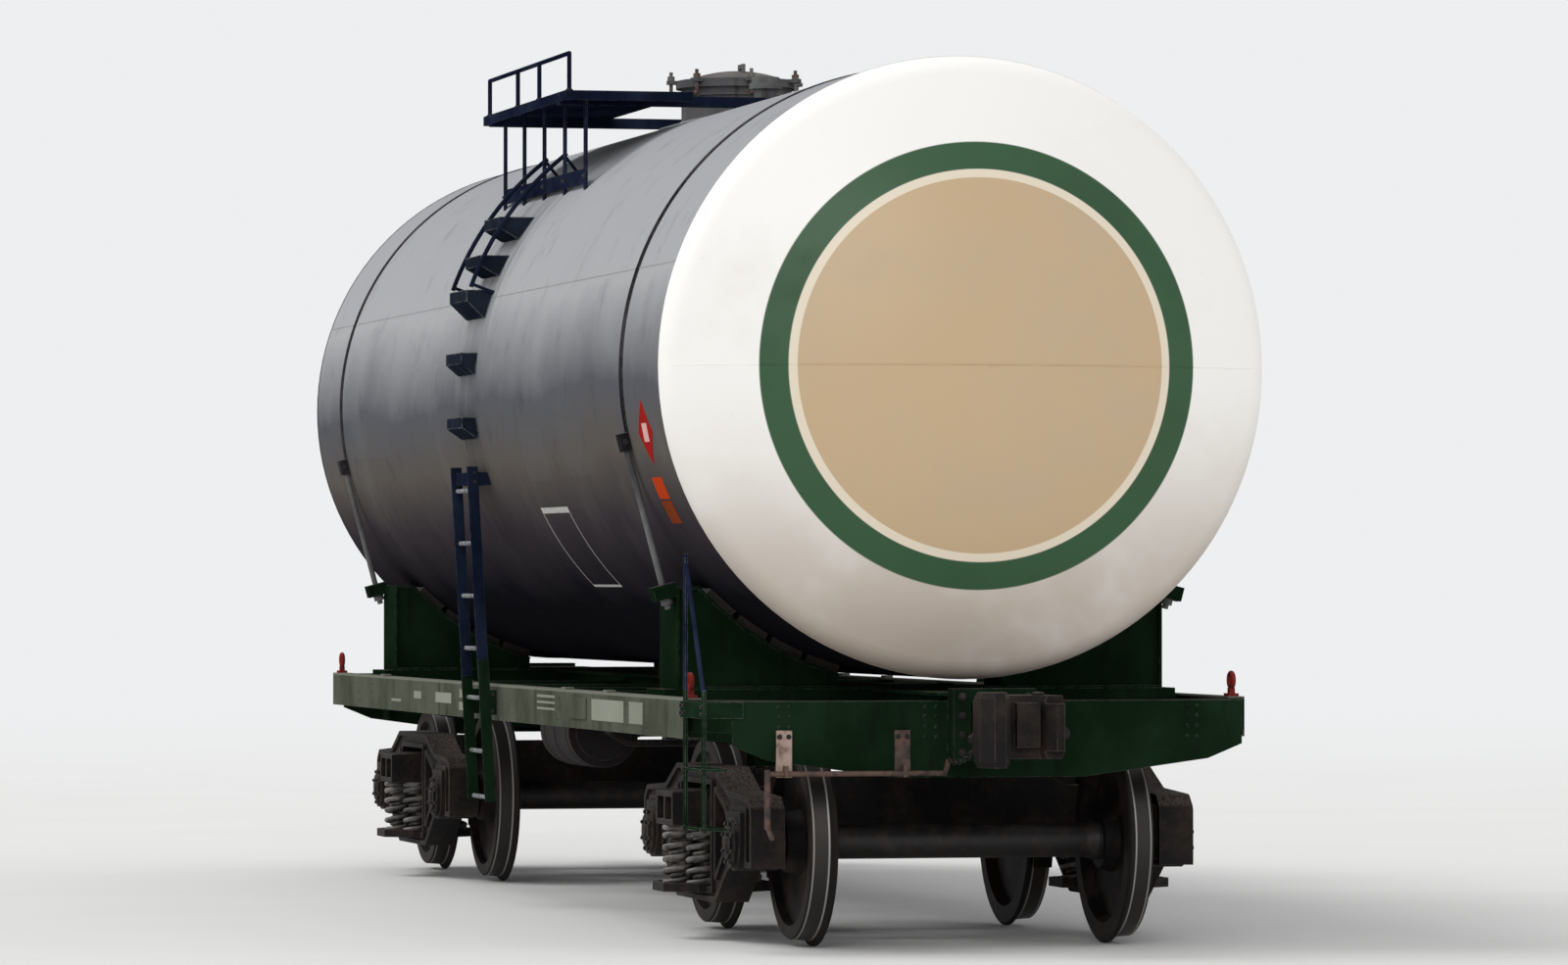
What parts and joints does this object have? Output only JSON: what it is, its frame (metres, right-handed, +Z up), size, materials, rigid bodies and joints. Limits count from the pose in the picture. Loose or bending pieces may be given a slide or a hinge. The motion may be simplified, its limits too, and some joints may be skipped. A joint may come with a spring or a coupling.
{
  "type": "railway tank car",
  "caption": "Railway tank car on two bogies: round tank with dished heads on saddles and straps, top platform with hatch, side ladders and couplers.",
  "frame": {"origin": "middle of the car on the plane that the wheel flanges stand on, 28 mm below the rail tops", "axes": "+X along the car to its front end, +Y across it to the left, +Z up"},
  "size_m": [12.276, 3.175, 4.6071],
  "materials": {
    "tank_grey": "satin, weathered",
    "dark_blue": "satin",
    "frame_green": "satin, dusty",
    "sill_grey": "matte, worn",
    "rod_grey": "satin",
    "cleat_red": "satin",
    "timber": "oiled, dark",
    "running_gear": "matte, grimy",
    "spring_steel": "matte",
    "wheel_steel": "rusty with bright treads",
    "coupler_steel": "matte",
    "bare_steel": "worn"
  },
  "bodies": {
    "root": {"center_sill": "frame_green", "body_bolster_front": "frame_green", "body_bolster_rear": "frame_green", "end_beam_front": "frame_green", "end_beam_rear": "frame_green", "side_sills": "sill_grey", "cross_beams": "frame_green", "saddle_front": "frame_green", "saddle_rear": "frame_green", "saddle_blocks": "timber", "tank_shell": "tank_grey", "tank_straps": "tank_grey", "strap_rods": "rod_grey", "anchor_feet": "frame_green", "manway_neck": "dark_blue", "relief_valve": "dark_blue", "platform_decks": "dark_blue", "platform_beams": "dark_blue", "platform_posts": "dark_blue", "platform_rails": "dark_blue", "tank_steps": "dark_blue", "tank_handrails": "dark_blue", "upper_ladders": "dark_blue", "lower_ladders": "frame_green", "corner_steps": "dark_blue", "drain_valve": "frame_green", "brake_cylinder": "running_gear", "brake_reservoir": "running_gear", "brake_rods": "running_gear", "brake_pipe": "running_gear", "coupler_front": "coupler_steel", "coupler_rear": "coupler_steel", "uncoupling_levers": "rod_grey", "tow_cleats": "cleat_red"},
    "lid": {"hatch_lid": "dark_blue", "lid_bolts": "bare_steel"},
    "outlet_cap": {"drain_cap": "bare_steel"},
    "bogie_front": {"side_frames_front": "running_gear", "springs_front": "spring_steel", "bogie_bolster_front": "running_gear", "friction_wedges_front": "running_gear", "axle_boxes_front": "running_gear", "brake_beams_front": "running_gear"},
    "bogie_rear": {"side_frames_rear": "running_gear", "springs_rear": "spring_steel", "bogie_bolster_rear": "running_gear", "friction_wedges_rear": "running_gear", "axle_boxes_rear": "running_gear", "brake_beams_rear": "running_gear"},
    "wheelset_1": {"axle_1": "wheel_steel", "wheels_1": "wheel_steel"},
    "wheelset_2": {"axle_2": "wheel_steel", "wheels_2": "wheel_steel"},
    "wheelset_3": {"axle_3": "wheel_steel", "wheels_3": "wheel_steel"},
    "wheelset_4": {"axle_4": "wheel_steel", "wheels_4": "wheel_steel"}
  },
  "joints": [
    {"name": "bogie_front_swivel", "type": "hinge", "parent": "root", "child": "bogie_front", "pos_m": [3.9, 0, 0.803], "axis": [0, 0, 1], "range_deg": [-4, 4]},
    {"name": "bogie_rear_swivel", "type": "hinge", "parent": "root", "child": "bogie_rear", "pos_m": [-3.9, 0, 0.803], "axis": [0, 0, 1], "range_deg": [-4, 4]},
    {"name": "wheelset_1_turn", "type": "hinge", "parent": "bogie_front", "child": "wheelset_1", "pos_m": [4.825, 0, 0.503], "axis": [0, 1, 0], "continuous": true},
    {"name": "wheelset_2_turn", "type": "hinge", "parent": "bogie_front", "child": "wheelset_2", "pos_m": [2.975, 0, 0.503], "axis": [0, 1, 0], "continuous": true},
    {"name": "wheelset_3_turn", "type": "hinge", "parent": "bogie_rear", "child": "wheelset_3", "pos_m": [-2.975, 0, 0.503], "axis": [0, 1, 0], "continuous": true},
    {"name": "wheelset_4_turn", "type": "hinge", "parent": "bogie_rear", "child": "wheelset_4", "pos_m": [-4.825, 0, 0.503], "axis": [0, 1, 0], "continuous": true},
    {"name": "lid_hinge", "type": "hinge", "parent": "root", "child": "lid", "pos_m": [-0.385, 0, 4.514], "axis": [0, -1, 0], "range_deg": [0, 110]},
    {"name": "outlet_cap_hinge", "type": "hinge", "parent": "root", "child": "outlet_cap", "pos_m": [0.165, 0, 0.6567], "axis": [0, -1, 0], "range_deg": [0, 90]}
  ]
}
